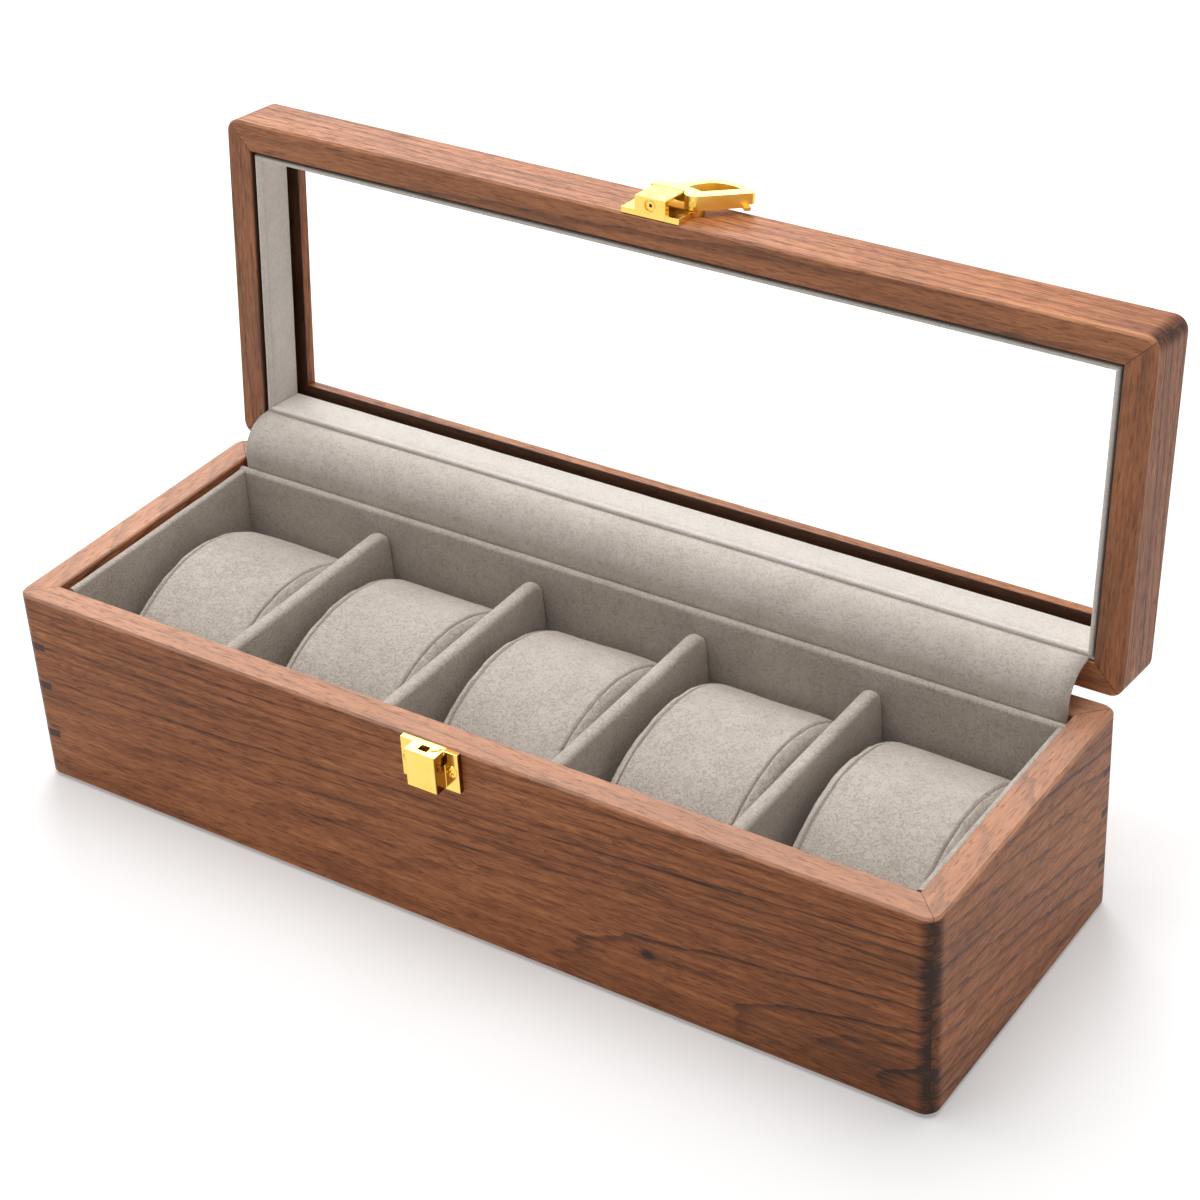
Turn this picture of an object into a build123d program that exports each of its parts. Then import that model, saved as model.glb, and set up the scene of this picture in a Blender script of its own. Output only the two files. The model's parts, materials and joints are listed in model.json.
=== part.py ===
from build123d import *
import os
from math import atan2, cos, degrees, hypot, radians, sin, sqrt

os.makedirs("parts", exist_ok=True)

# Case: overall sizes
case_length = 320.0
case_width = 110.0
base_height = 69.0
lid_height = 21.5
seam_gap = 0.3
wall = 9.5
corner_radius = 4.5
rim_ease = 0.7
foot_ease = 1.6
inner_rim_ease = 0.4

# Lid: opening angle, moulded section and window
lid_open_angle = 95.6
lid_top_round = 2.2
bezel_reach = 5.0
bezel_thickness = 4.5
bezel_round = 1.0
glass_thickness = 2.5
glass_clearance = 0.3
lid_lining_thickness = 2.5
lid_lining_setback = 0.5
lining_round = 0.9

# Mitre keys in the case corners
key_leg = 8.0
key_height = 2.6
key_levels = (17.5, 36.0, 50.5)

# Bottom panel and underside pad, let into a rabbet
panel_thickness = 4.0
rabbet_width = 4.0
pad_thickness = 1.2
pad_margin = 0.4

# Covered boards that line the base
liner_thickness = 3.0
liner_drop = 4.5
liner_clearance = 0.2
liner_round = 1.1
floor_liner_thickness = 2.0
compartments = 5
divider_thickness = 5.0
divider_drop = 7.0
divider_ease = 1.3
divider_corner = 6.0
flap_pocket = 1.5

# Pillows
pillow_length = 70.0
pillow_width = 47.0
pillow_height = 51.0
pillow_crown_radius = 50.0
pillow_shoulder_radius = 13.0
pillow_foot_radius = 12.0
pillow_seam_inset = 3.0
pillow_end_draw = 2.2
pillow_gap = 0.3
pillow_back_gap = 0.6

# Hinge flap of covered cloth
flap_thickness = 1.0
flap_end_gap = 1.5
flap_tail = 12.5
flap_bend_radius = 10.5
flap_lining_gap = 0.3

# Butt hinges
hinge_end_distance = 60.0
hinge_length = 28.0
hinge_leaf_width = 7.5
hinge_leaf_thickness = 1.0
knuckle_radius = 1.6
knuckle_count = 3
knuckle_gap = 0.2
knuckle_swing_gap = 0.2
knuckle_standoff = 1.2
hinge_pin_radius = 0.75
hinge_pin_clearance = 0.06
gain_clearance = 0.3
hinge_screw_offset = 9.0
hinge_screw_setback = 4.6
hinge_screw_head_radius = 1.5
hinge_screw_shank_radius = 0.8
hinge_screw_length = 9.0

# Catch: plates and blocks, shared by keeper and housing
catch_plate_width = 20.0
catch_plate_height = 13.3
catch_plate_thickness = 1.8
catch_block_width = 10.6
catch_block_proud = 4.6
catch_edge_ease = 0.3
catch_screw_spacing = 15.2
catch_screw_head_radius = 1.7
catch_screw_shank_radius = 0.85
catch_screw_length = 7.5
catch_screw_cross = 0.45

# Keeper on the base
keeper_drop = 0.2
keeper_block_height = 12.6
keeper_web = 1.5
mortise_width = 3.2
mortise_depth = 2.5
mortise_length = 5.0
mortise_offset = -0.3
mortise_front_wall = 1.85
relief_radius = 2.3
relief_width = 0.7
relief_depth = 0.8

# Housing on the lid
housing_rim_offset = 0.2
housing_depth = 10.4
housing_end_wall = 2.0
housing_side_wall = 1.6
housing_top_wall = 0.9
housing_screw_v = 4.9
end_bore_radius = 1.9
end_bore_depth = 0.7
end_rivet_radius = 1.4
end_rivet_length = 3.6
end_rivet_hollow = 0.55
end_bore_level = 3.8

# Lever that swings in the plane of the lid's front
lever_rest_angle = 45.0
lever_pivot_u = 8.8
lever_pivot_v = 11.0
lever_root_radius = 3.2
lever_foot_gap = 0.2
lever_under_gap = 1.15
lever_length = 17.5
lever_arc_rise = 11.2
lever_bar = 4.0
lever_block_gap = 0.3
tail_reach = 15.3
tail_width = 4.2
tail_pocket = 2.4
hook_height = 2.0
hook_reach = 2.4
hook_play = 0.3
hook_side_play = 0.2
pivot_pin_radius = 1.2
pivot_pin_clearance = 0.08
pivot_cap = 0.8
pivot_groove_depth = 0.3
set_screw_radius = 0.6
set_screw_socket = 0.35
set_screw_boss_radius = 1.1
set_screw_boss_length = 0.5
set_screw_angle = -70.0

# Sizes that follow from the ones above
half_length = case_length / 2
half_width = case_width / 2
rim_level = base_height
lid_rim_level = base_height + seam_gap
case_top = lid_rim_level + lid_height
inner_half_length = half_length - wall
inner_half_width = half_width - wall
panel_top = pad_thickness + panel_thickness
floor_top = panel_top + floor_liner_thickness
liner_top = base_height - liner_drop
front_liner_face = -inner_half_width + liner_thickness
back_liner_back = inner_half_width - flap_pocket
back_liner_face = back_liner_back - liner_thickness
side_liner_face = inner_half_length - liner_thickness
hinge_y = half_width + knuckle_standoff
hinge_z = base_height + seam_gap / 2
hinge_axis = Axis((0, hinge_y, hinge_z), (1, 0, 0))
hinge_places = {"left": hinge_end_distance - half_length, "right": half_length - hinge_end_distance}
catch_top = catch_plate_thickness + catch_block_proud
block_half = catch_block_width / 2

pieces = {}


def keep(name, *solids):
    """Store one named piece, or a group of alike pieces."""
    pieces[name] = solids[0] if len(solids) == 1 else Compound(children=list(solids))


def slab(x0, x1, y0, y1, z0, z1):
    """A box between two corners."""
    return Pos((x0 + x1) / 2, (y0 + y1) / 2, (z0 + z1) / 2) * Box(x1 - x0, y1 - y0, z1 - z0)


def prism(points, z0, z1):
    """An upright prism over a plan outline."""
    return Pos(0, 0, z0) * extrude(make_face(Polyline(*points, close=True)), z1 - z0, dir=(0, 0, 1))


def opened(shape):
    """A lid piece, drawn closed, turned to the open stop."""
    return shape.rotate(hinge_axis, -lid_open_angle)


def edges_at(shape, z, inside=False):
    """Horizontal edges at a level: the outer outline, or only what lies inside the walls."""
    found = shape.edges().filter_by_position(Axis.Z, z - 0.01, z + 0.01)
    if not inside:
        return found
    return [
        e for e in found
        if abs(e.center().X) < half_length - wall / 2 and abs(e.center().Y) < half_width - wall / 2
    ]


def rounded_block(z0, z1):
    """The outer shape of base or lid before its edges are eased, with round upright corners."""
    return Pos(0, 0, z0) * extrude(RectangleRounded(case_length, case_width, corner_radius), z1 - z0)


def mitre_wedge(side, z0, z1):
    """Plan wedge of one side between the two 45 degree mitres."""
    x, y, run = half_length, half_width, half_width
    margin = 5.0
    ridge = x - run
    plans = {
        "front": [(-x - margin, -y - margin), (x + margin, -y - margin), (ridge, 0), (-ridge, 0)],
        "back": [(-x - margin, y + margin), (x + margin, y + margin), (ridge, 0), (-ridge, 0)],
        "left": [(-x - margin, -y - margin), (-ridge, 0), (-x - margin, y + margin)],
        "right": [(x + margin, -y - margin), (ridge, 0), (x + margin, y + margin)],
    }
    return prism(plans[side], z0 - 1, z1 + 1)


def mitred(ring, z0, z1):
    """A ring cut into its four mitred sides."""
    return {side: ring & mitre_wedge(side, z0, z1) for side in ("front", "back", "left", "right")}


def shank(radius, length):
    """A screw's shank along -Z, with its thread left as a plain eight-sided bar."""
    return extrude(RegularPolygon(radius, 8), -length)


def screw(head_radius, head_length, shank_radius, length, cross=0.0):
    """A screw along -Z with its head flush at z = 0."""
    body = Pos(0, 0, -head_length / 2) * Cylinder(head_radius, head_length)
    body += Pos(0, 0, -head_length) * shank(shank_radius, length - head_length)
    for turn in (0, 90) if cross else ():
        body -= Rot(0, 0, turn) * Box(head_radius * 1.1, cross, head_length * 0.6)
    return body


# Base walls: one rounded block, hollowed, rabbeted, then cut at the mitres
base_block = rounded_block(0, base_height)
base_block = chamfer(edges_at(base_block, 0), foot_ease)
base_block = chamfer(edges_at(base_block, base_height), rim_ease)
base_ring = base_block - slab(
    -inner_half_length, inner_half_length, -inner_half_width, inner_half_width, -1, base_height + 1
)
rabbet_x = inner_half_length + rabbet_width
rabbet_y = inner_half_width + rabbet_width
base_ring -= slab(-rabbet_x, rabbet_x, -rabbet_y, rabbet_y, -1, panel_top)
base_ring = chamfer(edges_at(base_ring, base_height, inside=True), inner_rim_ease)
base_walls = mitred(base_ring, 0, base_height)


def corner_keys(x_sign, y_sign):
    """Three keys let across one mitred corner, dressed flush with both faces."""
    x, y, reach = x_sign * half_length, y_sign * half_width, 6.0
    inner_x, inner_y = x - x_sign * key_leg, y - y_sign * key_leg
    out_x, out_y = x + x_sign * reach, y + y_sign * reach
    plan = [
        (inner_x - x_sign * reach, out_y), (out_x, out_y), (out_x, inner_y - y_sign * reach),
        (x, inner_y), (inner_x, y),
    ]
    return [
        base_block & prism(plan, z - key_height / 2, z + key_height / 2) for z in key_levels
    ]


key_corners = {"front_left": (-1, -1), "rear_left": (-1, 1), "rear_right": (1, 1)}
for corner, (x_sign, y_sign) in key_corners.items():
    keys = corner_keys(x_sign, y_sign)
    keep(f"spline_keys_{corner}", *keys)
    for side in base_walls:
        if side in (("left", "right")[x_sign > 0], ("front", "back")[y_sign > 0]):
            for key in keys:
                base_walls[side] -= key

# Bottom panel in its rabbet, with a cloth pad glued to its underside
keep("bottom_panel", slab(-rabbet_x, rabbet_x, -rabbet_y, rabbet_y, pad_thickness, panel_top))
pad_x, pad_y = rabbet_x - pad_margin, rabbet_y - pad_margin
keep("underside_pad", slab(-pad_x, pad_x, -pad_y, pad_y, 0, pad_thickness))

# Lining boards of the base
board_x = inner_half_length - liner_clearance
keep("floor_liner", slab(
    -board_x, board_x, -inner_half_width + liner_clearance, back_liner_back, panel_top, floor_top
))


def lining_board(x0, x1, y0, y1):
    """An upright covered board on the floor liner, with its top edges rounded by the cloth."""
    board = slab(x0, x1, y0, y1, floor_top, liner_top)
    long_axis = Axis.X if x1 - x0 > y1 - y0 else Axis.Y
    return fillet(edges_at(board, liner_top).filter_by(long_axis), liner_round)


keep("front_liner", lining_board(-board_x, board_x, -inner_half_width + liner_clearance, front_liner_face))
keep("back_liner", lining_board(-board_x, board_x, back_liner_face, back_liner_back))
keep("left_liner", lining_board(-board_x, -side_liner_face, front_liner_face, back_liner_face))
keep("right_liner", lining_board(side_liner_face, board_x, front_liner_face, back_liner_face))

# Dividers between equal compartments
clear_length = 2 * side_liner_face
compartment = (clear_length - (compartments - 1) * divider_thickness) / compartments
divider_top = base_height - divider_drop


def divider(x):
    """A covered board with rounded top corners and an eased top edge."""
    board = slab(
        x - divider_thickness / 2, x + divider_thickness / 2,
        front_liner_face, back_liner_face, floor_top, divider_top,
    )
    board = fillet(edges_at(board, divider_top).filter_by(Axis.X), divider_corner)
    top_loop = [
        e for e in board.edges()
        if e.center().Z > divider_top - divider_corner + 0.1 and e.bounding_box().size.X < 0.01
    ]
    return chamfer(top_loop, divider_ease)


compartment_centres = [
    -side_liner_face + compartment / 2 + i * (compartment + divider_thickness)
    for i in range(compartments)
]
for i, x in enumerate(compartment_centres[:-1]):
    keep(f"divider_{i + 1}", divider(x + (compartment + divider_thickness) / 2))

# Pillows: an arched section carried along X, drawn in at the end seams, set against the back liner
pillow_half = pillow_length / 2
crown_drop = pillow_crown_radius - sqrt(pillow_crown_radius ** 2 - pillow_half ** 2)
pillow_middle_y = back_liner_face - pillow_back_gap - pillow_half
pillow_floor = floor_top + pillow_gap


def pillow_section():
    """The outline from the side, with its foot at z = 0: a low arch, round shoulders and round feet."""
    shoulder = pillow_height - crown_drop
    outline = make_face(
        Polyline((-pillow_half, shoulder), (-pillow_half, 0), (pillow_half, 0), (pillow_half, shoulder))
        + ThreePointArc((pillow_half, shoulder), (0, pillow_height), (-pillow_half, shoulder))
    )
    corners = outline.vertices().group_by(Axis.Y)
    outline = fillet(corners[-1], pillow_shoulder_radius)
    return fillet(outline.vertices().group_by(Axis.Y)[0], pillow_foot_radius)


def pillow():
    """One pillow about x = 0, standing on z = 0, its ends drawn in from the two seams."""
    half = pillow_width / 2
    end_face = Pos(-half, 0, 0) * (Plane.YZ * pillow_section())
    body = extrude(end_face, pillow_width, dir=(1, 0, 0))
    for end in (body.faces().sort_by(Axis.X)[0], body.faces().sort_by(Axis.X)[-1]):
        body = chamfer(end.edges(), pillow_seam_inset, pillow_end_draw, reference=end)
    return body


pillow_shape = pillow()
for i, x in enumerate(compartment_centres):
    keep(f"pillow_{i + 1}", Pos(x, pillow_middle_y, pillow_floor) * pillow_shape)

# Lid rails: an outer block hollowed from below, with the window cut through the bezel
lid_block = rounded_block(lid_rim_level, case_top)
lid_block = fillet(edges_at(lid_block, case_top), lid_top_round)
lid_block = chamfer(edges_at(lid_block, lid_rim_level), rim_ease)
bezel_under = case_top - bezel_thickness
window_x = inner_half_length - bezel_reach
window_y = inner_half_width - bezel_reach
lid_ring = lid_block - slab(
    -inner_half_length, inner_half_length, -inner_half_width, inner_half_width,
    lid_rim_level - 1, bezel_under,
)
lid_ring -= slab(-window_x, window_x, -window_y, window_y, bezel_under - 1, case_top + 1)
lid_ring = fillet(edges_at(lid_ring, case_top, inside=True), bezel_round)
lid_ring = chamfer(edges_at(lid_ring, lid_rim_level, inside=True), inner_rim_ease)
lid_rails = mitred(lid_ring, lid_rim_level, case_top)

# Glass under the bezel, held by the mitred lining strips
glass_x, glass_y = inner_half_length - glass_clearance, inner_half_width - glass_clearance
glass_under = bezel_under - glass_thickness
keep("lid_glass", opened(slab(-glass_x, glass_x, -glass_y, glass_y, glass_under, bezel_under)))
lining_low = lid_rim_level + lid_lining_setback
lining_x = inner_half_length - lid_lining_thickness
lining_y = inner_half_width - lid_lining_thickness
lining_ring = slab(
    -inner_half_length, inner_half_length, -inner_half_width, inner_half_width, lining_low, glass_under
) - slab(-lining_x, lining_x, -lining_y, lining_y, lining_low - 1, glass_under + 1)
inner_edges = [
    e for e in edges_at(lining_ring, lining_low)
    if abs(e.center().X) < lining_x + 0.1 and abs(e.center().Y) < lining_y + 0.1
]
lining_ring = fillet(inner_edges, lining_round)
for side, strip in mitred(lining_ring, lining_low, glass_under).items():
    keep(f"lid_lining_{side}", opened(strip))

# Hinges: leaves let into both rims, knuckles on the seam line behind the case


def round_bar(x0, x1, radius):
    """A bar along the hinge axis."""
    return Pos((x0 + x1) / 2, hinge_y, hinge_z) * Rot(0, 90, 0) * Cylinder(radius, x1 - x0)


def hinge_leaf(centre, side):
    """One leaf with its own knuckles; side is -1 on the base and +1 on the lid."""
    low, high = centre - hinge_length / 2, centre + hinge_length / 2
    near = hinge_z + side * seam_gap / 2
    far = near + side * hinge_leaf_thickness
    leaf = slab(low, high, hinge_y - hinge_leaf_width, hinge_y, min(near, far), max(near, far))
    step = hinge_length / knuckle_count
    mine = 0 if side < 0 else 1
    for k in range(knuckle_count):
        start, end = low + k * step, low + (k + 1) * step
        if k % 2 == mine:
            leaf += round_bar(start + knuckle_gap / 2, end - knuckle_gap / 2, knuckle_radius)
        else:
            leaf -= slab(
                start - knuckle_gap / 2, end + knuckle_gap / 2, hinge_y - knuckle_radius - knuckle_swing_gap,
                hinge_y + 1, hinge_z - knuckle_radius, hinge_z + knuckle_radius,
            )
    bore = hinge_pin_radius + (0 if side < 0 else hinge_pin_clearance)
    return leaf - round_bar(low - 1, high + 1, bore)


def hinge_gain(centre, side):
    """What is cut from a rim for one hinge: the leaf's bed and a notch for the knuckles."""
    low, high = centre - hinge_length / 2, centre + hinge_length / 2
    near = hinge_z + side * seam_gap / 2
    far = near + side * hinge_leaf_thickness
    over = near - side
    bed = slab(low, high, hinge_y - hinge_leaf_width, hinge_y, min(over, far), max(over, far))
    reach = knuckle_radius + gain_clearance
    edge = hinge_z + side * reach
    return bed + slab(
        low - gain_clearance, high + gain_clearance, hinge_y - reach, hinge_y, min(over, edge), max(over, edge)
    )


def hinge_screws(centre, side):
    """Two flush screws through one leaf."""
    one = screw(hinge_screw_head_radius, hinge_leaf_thickness, hinge_screw_shank_radius, hinge_screw_length)
    turn = Rot(180, 0, 0) if side > 0 else Rot(0, 0, 0)
    near = hinge_z + side * seam_gap / 2
    y = hinge_y - hinge_screw_setback
    return [Pos(centre + dx, y, near) * turn * one for dx in (-hinge_screw_offset, hinge_screw_offset)]


base_hinge_screws, lid_hinge_screws = [], []
for name, x in hinge_places.items():
    below, above = hinge_screws(x, -1), hinge_screws(x, 1)
    base_leaf, lid_leaf = hinge_leaf(x, -1), hinge_leaf(x, 1)
    base_walls["back"] -= hinge_gain(x, -1)
    lid_rails["back"] -= hinge_gain(x, 1)
    for one in below:
        base_leaf -= one
        base_walls["back"] -= one
    for one in above:
        lid_leaf -= one
        lid_rails["back"] -= one
    keep(f"hinge_base_leaf_{name}", base_leaf)
    keep(f"hinge_lid_leaf_{name}", opened(lid_leaf))
    keep(f"hinge_pin_{name}", round_bar(x - hinge_length / 2, x + hinge_length / 2, hinge_pin_radius))
    base_hinge_screws += below
    lid_hinge_screws += [opened(one) for one in above]
keep("hinge_screws_base", *base_hinge_screws)
keep("hinge_screws_lid", *lid_hinge_screws)

# Hinge flap: from behind the back liner, round in a bend, to the edge of the lid's back lining
lining_edge = opened(Pos(0, lining_y, lining_low) * Vertex(0, 0, 0)).center()
outer_edge = opened(Pos(0, inner_half_width, lining_low) * Vertex(0, 0, 0)).center()
flap_y = inner_half_width - flap_pocket / 2
flap_crest = outer_edge.Z + flap_lining_gap + flap_thickness / 2
flap_bend_z = flap_crest - flap_bend_radius
half_flap = flap_thickness / 2
flap_profile = Plane.YZ * make_face(
    Polyline(
        (flap_y - half_flap, liner_top - flap_tail), (flap_y - half_flap, flap_bend_z),
    ) + ThreePointArc(
        (flap_y - half_flap, flap_bend_z),
        (
            flap_y + flap_bend_radius - (flap_bend_radius + half_flap) * sqrt(0.5),
            flap_bend_z + (flap_bend_radius + half_flap) * sqrt(0.5),
        ),
        (flap_y + flap_bend_radius, flap_crest + half_flap),
    ) + Polyline(
        (flap_y + flap_bend_radius, flap_crest + half_flap),
        (outer_edge.Y - flap_lining_gap, flap_crest + half_flap),
        (outer_edge.Y - flap_lining_gap, flap_crest - half_flap),
        (flap_y + flap_bend_radius, flap_crest - half_flap),
    ) + ThreePointArc(
        (flap_y + flap_bend_radius, flap_crest - half_flap),
        (
            flap_y + flap_bend_radius - (flap_bend_radius - half_flap) * sqrt(0.5),
            flap_bend_z + (flap_bend_radius - half_flap) * sqrt(0.5),
        ),
        (flap_y + half_flap, flap_bend_z),
    ) + Polyline(
        (flap_y + half_flap, flap_bend_z), (flap_y + half_flap, liner_top - flap_tail),
        (flap_y - half_flap, liner_top - flap_tail),
    )
)
flap_half_length = inner_half_length - flap_end_gap
keep("hinge_flap", extrude(Pos(-flap_half_length, 0, 0) * flap_profile, 2 * flap_half_length, dir=(1, 0, 0)))

# Catch frames: u runs to the right, v up the closed front and w out of it
keeper_frame = Plane(
    origin=(0, -half_width, rim_level - keeper_drop), x_dir=(1, 0, 0), z_dir=(0, -1, 0)
).location
housing_frame = Plane(
    origin=(0, -half_width, lid_rim_level), x_dir=(1, 0, 0), z_dir=(0, -1, 0)
).location


def catch_screws(v, cross=catch_screw_cross):
    """The two flush screws of one catch plate, at its height v; with no cross, their holes."""
    one = screw(
        catch_screw_head_radius, catch_plate_thickness, catch_screw_shank_radius, catch_screw_length, cross
    )
    return [Pos(u, v, catch_plate_thickness) * one for u in (-catch_screw_spacing / 2, catch_screw_spacing / 2)]


# Keeper: plate and block in one, with a mortise, a relief groove and the hook's side slot
hook_low = lever_pivot_v + seam_gap + keeper_drop + keeper_web + hook_play
hook_tip = hypot(lever_pivot_u - block_half + hook_reach, hook_low + hook_height)
hook_sweep = sqrt(hook_tip ** 2 - (lever_pivot_u - block_half) ** 2)
hook_slot_low = -(hook_sweep - lever_pivot_v - seam_gap - keeper_drop + hook_play)
keeper = slab(
    -catch_plate_width / 2, catch_plate_width / 2, -catch_plate_height, 0, 0, catch_plate_thickness
)
block = slab(-block_half, block_half, -keeper_block_height, 0, 0, catch_top)
block = chamfer(block.faces().sort_by(Axis.Z)[-1].edges(), catch_edge_ease)
keeper += block
mortise_far = catch_top - mortise_front_wall
keeper -= slab(
    mortise_offset - mortise_width / 2, mortise_offset + mortise_width / 2,
    -mortise_length, 1, mortise_far - mortise_depth, mortise_far,
)
relief_u = mortise_offset + mortise_width / 2 + relief_width
relief_w = catch_plate_thickness - relief_width
relief = Pos(relief_u, 0, relief_w) * Rot(90, 0, 0) * (
    Cylinder(relief_radius + relief_width / 2, 2 * relief_depth)
    - Cylinder(relief_radius - relief_width / 2, 3 * relief_depth)
)
keeper -= relief & slab(relief_u, block_half, -relief_depth, 1, relief_w, catch_top)
keeper -= slab(
    block_half - hook_reach - hook_play, block_half + 1, hook_slot_low, -keeper_web,
    catch_plate_thickness, catch_plate_thickness + lever_under_gap + hook_side_play,
)
for hole in catch_screws(-keeper_block_height / 2, 0):
    keeper -= hole
    base_walls["front"] -= keeper_frame * hole
keep("catch_keeper", keeper_frame * keeper)
keep("catch_keeper_screws", *[keeper_frame * one for one in catch_screws(-keeper_block_height / 2)])

# Housing: plate, and a bridge block that is open to the right and behind
housing_near = housing_rim_offset
housing_far = housing_near + housing_depth
housing_plate_far = housing_near + catch_plate_height
housing = slab(
    -catch_plate_width / 2, catch_plate_width / 2, housing_near, housing_plate_far, 0, catch_plate_thickness
)
bridge = slab(-block_half, block_half, housing_near, housing_far, 0, catch_top)
bridge = chamfer(bridge.faces().sort_by(Axis.Z)[-1].edges(), catch_edge_ease)
bridge -= slab(
    -block_half + housing_side_wall, block_half + 1, housing_near + housing_end_wall, housing_far + 1,
    catch_plate_thickness, catch_top - housing_top_wall,
)
housing += bridge
bore_axis = Pos(0, housing_near, end_bore_level) * Rot(90, 0, 0)
housing -= bore_axis * Cylinder(end_bore_radius, 2 * end_bore_depth)
rivet_start = end_bore_depth * 0.5
rivet = Pos(0, housing_near + rivet_start + end_rivet_length / 2, end_bore_level) * Rot(90, 0, 0) * (
    Cylinder(end_rivet_radius, end_rivet_length) - Cylinder(end_rivet_hollow, end_rivet_length + 1)
)
housing -= Pos(0, housing_near + housing_end_wall, end_bore_level) * Rot(90, 0, 0) * Cylinder(
    end_rivet_radius, 2 * housing_end_wall
)
pivot_at = Pos(lever_pivot_u, lever_pivot_v, 0)
housing += pivot_at * Pos(0, 0, catch_plate_thickness / 2) * Cylinder(
    lever_root_radius - lever_foot_gap, catch_plate_thickness
)
housing -= pivot_at * Pos(0, 0, catch_plate_thickness / 2) * Cylinder(
    pivot_pin_radius, catch_plate_thickness + 1
)
for hole in catch_screws(housing_screw_v, 0):
    housing -= hole
    lid_rails["front"] -= housing_frame * hole
keep("catch_housing", opened(housing_frame * housing))
keep("catch_housing_screws", *[opened(housing_frame * one) for one in catch_screws(housing_screw_v)])
keep("catch_end_rivet", opened(housing_frame * rivet))

# Pivot pin, riveted in the plate, with the groove that the retaining screw runs in
pin_top = catch_top - pivot_cap - lever_foot_gap
groove_level = (catch_plate_thickness + lever_foot_gap + catch_top) / 2
groove_half = set_screw_radius + pivot_pin_clearance
pivot_pin = Pos(0, 0, pin_top / 2) * Cylinder(pivot_pin_radius, pin_top)
pivot_pin -= Pos(0, 0, groove_level) * (
    Cylinder(pivot_pin_radius + 1, 2 * groove_half)
    - Cylinder(pivot_pin_radius - pivot_groove_depth, 2 * groove_half + 1)
)
keep("lever_pivot_pin", opened(housing_frame * pivot_at * pivot_pin))

# Lever: loop handle, tail, root and hook, drawn with the handle along local x
lever_low = catch_plate_thickness + lever_under_gap
root_low = catch_plate_thickness + lever_foot_gap
edge_line = -lever_root_radius


def turned(x, y, angle=lever_rest_angle):
    """A point of the handle's own drawing, turned to the rest angle."""
    c, s = cos(radians(angle)), sin(radians(angle))
    return (x * c - y * s, x * s + y * c)


def lever_outline():
    """Round the lever from the root: straight bar, tip, sweeping back, tail, block side, root."""
    tip, rise, radius = lever_length, lever_arc_rise, lever_root_radius
    start, bar_end, tip_end = turned(0, edge_line), turned(tip - 1.3, edge_line), turned(tip, edge_line + 1.6)
    crown, heel = turned(tip * 0.49, rise * 0.955), turned(-tip * 0.2, rise * 0.84)
    tail_top = block_back + tail_width
    meet = (-sqrt(radius ** 2 - block_back ** 2), block_back)
    under = radians((degrees(atan2(meet[1], meet[0])) % 360 + lever_rest_angle + 270) / 2)
    return make_face(
        Line(start, bar_end)
        + ThreePointArc(bar_end, turned(tip - 0.35, edge_line + 0.45), tip_end)
        + ThreePointArc(tip_end, turned(tip * 0.835, rise * 0.51), crown)
        + ThreePointArc(crown, turned(tip * 0.15, rise), heel)
        + Polyline(
            heel, (-tail_reach * 0.81, tail_top + 0.8), (-tail_reach * 0.98, tail_top - 0.8),
            (-tail_reach, block_back), meet,
        )
        + ThreePointArc(meet, (radius * cos(under), radius * sin(under)), start)
    )


def handle_hole():
    """The opening inside the loop, a band's width in from the outline."""
    tip, rise, band = lever_length, lever_arc_rise, lever_bar
    near, far = turned(tip * 0.12, edge_line + band), turned(tip * 0.8, edge_line + band)
    crest, heel = turned(tip * 0.43, rise - band * 0.95), turned(-tip * 0.045, rise * 0.52)
    return make_face(
        Line(near, far)
        + ThreePointArc(far, turned(tip * 0.665, rise * 0.42), crest)
        + ThreePointArc(crest, turned(tip * 0.15, rise * 0.64), heel)
        + Line(heel, near)
    )


block_back = housing_far - lever_pivot_v + lever_block_gap
lever = Pos(0, 0, lever_low) * extrude(lever_outline(), catch_top - lever_low, dir=(0, 0, 1))
lever -= Pos(0, 0, lever_low - 1) * extrude(handle_hole(), catch_top - lever_low + 2, dir=(0, 0, 1))
lever -= slab(
    -tail_reach + 0.8, -tail_reach * 0.66, block_back - 1, block_back + tail_pocket,
    lever_low - 1, catch_top - 1.0,
)
lever += Pos(0, 0, (root_low + catch_top - 1) / 2) * Cylinder(lever_root_radius, catch_top - 1 - root_low)
hook_far = hook_low + hook_height
hook_tip_y = -(lever_pivot_u - block_half + hook_reach)
leaf = slab(0, hook_far, edge_line, edge_line + lever_bar * 0.7, root_low, lever_low)
leaf += slab(hook_low, hook_far, hook_tip_y, edge_line + 1, root_low, lever_low)
lever += Rot(0, 0, lever_rest_angle) * leaf
lever -= Pos(0, 0, pin_top / 2) * Cylinder(
    pivot_pin_radius + pivot_pin_clearance, pin_top + 2 * lever_foot_gap
)
screw_axis = Pos(0, 0, groove_level) * Rot(0, 0, set_screw_angle) * Rot(0, 90, 0)
boss_end = lever_root_radius + set_screw_boss_length
lever += screw_axis * Pos(0, 0, boss_end - 0.9) * Cylinder(set_screw_boss_radius, 1.8)
lever -= screw_axis * Pos(0, 0, boss_end / 2) * Cylinder(set_screw_radius, boss_end + 0.2)
keep("catch_lever", opened(housing_frame * pivot_at * lever))
screw_tip = pivot_pin_radius - pivot_groove_depth / 2
set_screw = screw_axis * Pos(0, 0, (screw_tip + boss_end - 0.3) / 2) * Cylinder(
    set_screw_radius, boss_end - 0.3 - screw_tip
)
set_screw -= screw_axis * Pos(0, 0, boss_end - 0.3) * Cylinder(set_screw_socket, 1.6)
keep("lever_set_screw", opened(housing_frame * pivot_at * set_screw))

# Wooden sides, once every hinge and catch has been let into them
for side, rail in base_walls.items():
    keep(f"base_{side}_wall", rail)
for side, rail in lid_rails.items():
    keep(f"lid_{side}_rail", opened(rail))

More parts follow.
